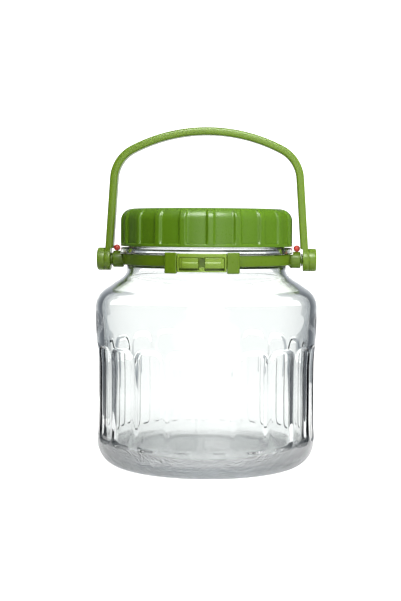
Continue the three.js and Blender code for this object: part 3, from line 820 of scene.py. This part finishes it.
def strap():
    """The strap, swept from the right foot over the arch to the left foot."""
    lean = Vector((cos(LEG_LEAN), 0, sin(LEG_LEAN)))
    up = Vector((-sin(LEG_LEAN), 0, cos(LEG_LEAN)))
    foot = Vector((EYE_OUTER, 0, PIVOT_Z))
    arch_centre = Vector((0, 0, HANDLE_TOP - ARCH_RADIUS))
    start = foot - CORNER_RADIUS * lean
    b = (start - arch_centre).dot(up)
    c = (start - arch_centre).length_squared - (ARCH_RADIUS - CORNER_RADIUS) ** 2
    leg_length = -b + sqrt(b * b - c)
    corner = start + leg_length * up
    turn = atan2((corner - arch_centre).z, (corner - arch_centre).x)
    bm = bmesh.new()
    section = rounded_box_profile(-STRAP_THICKNESS, 0, -STRAP_WIDTH / 2, STRAP_WIDTH / 2, 1.5)
    verts = [bm.verts.new(foot + across * lean + Vector((0, along, 0))) for across, along in section]
    ring_edges = [bm.edges.new(pair) for pair in zip(verts, verts[1:] + verts[:1])]
    geom = verts + ring_edges

    def extend(geom, direction):
        edges = [g for g in geom if isinstance(g, bmesh.types.BMEdge)]
        made = bmesh.ops.extrude_edge_only(bm, edges=edges)["geom"]
        made_verts = [g for g in made if isinstance(g, bmesh.types.BMVert)]
        bmesh.ops.translate(bm, vec=direction, verts=made_verts)
        kept = set(made_verts)
        return made_verts + [e for e in bm.edges if e.verts[0] in kept and e.verts[1] in kept]

    def bend(geom, centre, angle, steps):
        return bmesh.ops.spin(bm, geom=geom, cent=centre, axis=(0, -1, 0), dvec=(0, 0, 0),
                              angle=angle, steps=steps, use_merge=False, use_duplicate=False)["geom_last"]

    for _ in range(6):
        geom = extend(geom, leg_length / 6 * up)
    geom = bend(geom, corner, turn - LEG_LEAN, 14)
    geom = bend(geom, arch_centre, pi - 2 * turn, 48)
    geom = bend(geom, Vector((-corner.x, 0, corner.z)), turn - LEG_LEAN, 14)
    for _ in range(6):
        geom = extend(geom, leg_length / 6 * Vector((up.x, 0, -up.z)))
    bmesh.ops.remove_doubles(bm, verts=bm.verts, dist=1e-4)
    bmesh.ops.holes_fill(bm, edges=[e for e in bm.edges if e.is_boundary], sides=0)
    bmesh.ops.recalc_face_normals(bm, faces=bm.faces)
    return bm


def carry_handle():
    rooms = []
    eyes = []
    for side in (-1, 1):
        rooms.append(pivot_turned([(0, BAND_INNER), (EAR_RADIUS + 4, BAND_INNER),
                                   (EAR_RADIUS + 4, EYE_INNER), (0, EYE_INNER)], side))
        rooms.append(pivot_turned([(0, EYE_OUTER), (EYE_RADIUS + GAP, EYE_OUTER),
                                   (EYE_RADIUS + GAP, EYE_OUTER + 5), (0, EYE_OUTER + 5)], side))
        eye = [(0, EYE_INNER)] + arc(EYE_RADIUS - 0.8, EYE_INNER + 0.8, 0.8, -pi / 2, 0, 4)
        eye += arc(EYE_RADIUS - 0.3, EYE_OUTER - 0.3, 0.3, 0, pi / 2, 2) + [(0, EYE_OUTER)]
        eyes.append(pivot_turned(eye, side, 64))
    bores = [pivot_turned([(0, EYE_INNER - 3), (PIN_RADIUS + GAP, EYE_INNER - 3),
                           (PIN_RADIUS + GAP, EYE_OUTER + 3), (0, EYE_OUTER + 3)], side) for side in (-1, 1)]
    cleared = combined("DIFFERENCE", strap(), *rooms)
    return combined("DIFFERENCE", combined("UNION", cleared, *eyes), *bores)


handle_plastic = moulded_polypropylene("moss green polypropylene, handle", "#587214", 0.15)
finished(carry_handle(), "moulded_carry_handle", "handle", "carry_handle", handle_plastic)

# ---------------------------------------------------------------------------------------------
# Pivots. A moulded pin joins the ear to the handle's eye, a plain round cap is pressed on its
# end, and a red domed pin dropped through the ear keeps it there.
CAP_INNER = EYE_OUTER + 0.08
CAP_OUTER = EYE_OUTER + GAP + 5.3


def pivot_cap(side):
    profile = [(0, CAP_INNER)] + arc(EYE_RADIUS - 0.3, CAP_INNER + 0.3, 0.3, -pi / 2, 0, 3)
    profile += arc(EYE_RADIUS - 1.4, CAP_OUTER - 1.4, 1.4, 0, pi / 2, 7)
    profile += [(4.6, CAP_OUTER), (4.2, CAP_OUTER - 0.35), (0, CAP_OUTER - 0.35)]
    socket = [(0, CAP_INNER - 1), (PIN_RADIUS + GAP, CAP_INNER - 1),
              (PIN_RADIUS + GAP, EYE_OUTER + 2.95), (0, EYE_OUTER + 2.95)]
    return combined("DIFFERENCE", pivot_turned(profile, side, 64), pivot_turned(socket, side))


def lock_pin(side):
    seat = PIVOT_Z + EAR_RADIUS + GAP
    head = arc(0, seat + 1.9, 2.5, -0.86, pi / 2, 14)
    bm = turned([(0, PIVOT_Z - 3.5), (1, PIVOT_Z - 3.5), (1, seat)] + head, 40)
    bmesh.ops.translate(bm, vec=(side * LOCK_PIN_X, 0, 0), verts=bm.verts)
    return bm


def red_plastic():
    """Acetal, injection moulded. Opaque red with a smooth soft gloss and faint tool marks."""
    material, tree, output = new_material("red acetal")
    place = add_node(tree, "ShaderNodeTexCoord").outputs["Object"]
    marks = add_node(tree, "ShaderNodeTexNoise", {"Vector": place, "Scale": 1 / (0.8 * MM), "Detail": 2.0})
    tint = add_node(tree, "ShaderNodeMix", {
        "Factor": marks.outputs["Fac"], "A": srgb("#b53f33"), "B": srgb("#c9493b")}, data_type="RGBA")
    bump = add_node(tree, "ShaderNodeBump", {
        "Height": marks.outputs["Fac"], "Strength": 0.3, "Distance": 0.03 * MM})
    shader = add_node(tree, "ShaderNodeBsdfPrincipled", {
        "Roughness": 0.3, "IOR": 1.48, "Normal": bump.outputs[0]})
    tree.links.new(tint.outputs["Result"], shader.inputs["Base Color"])
    tree.links.new(shader.outputs[0], output.inputs["Surface"])
    return material


pin_red = red_plastic()
for side, name in ((-1, "left"), (1, "right")):
    finished(pivot_cap(side), "round_cap_" + name, "jar", "pivot_cap_" + name, handle_plastic)
    finished(lock_pin(side), "red_lock_pin_" + name, "jar", "lock_pin_" + name, pin_red)
    frame["nodes"]["pivot_pin_" + name].material_slots[0].material = band_plastic
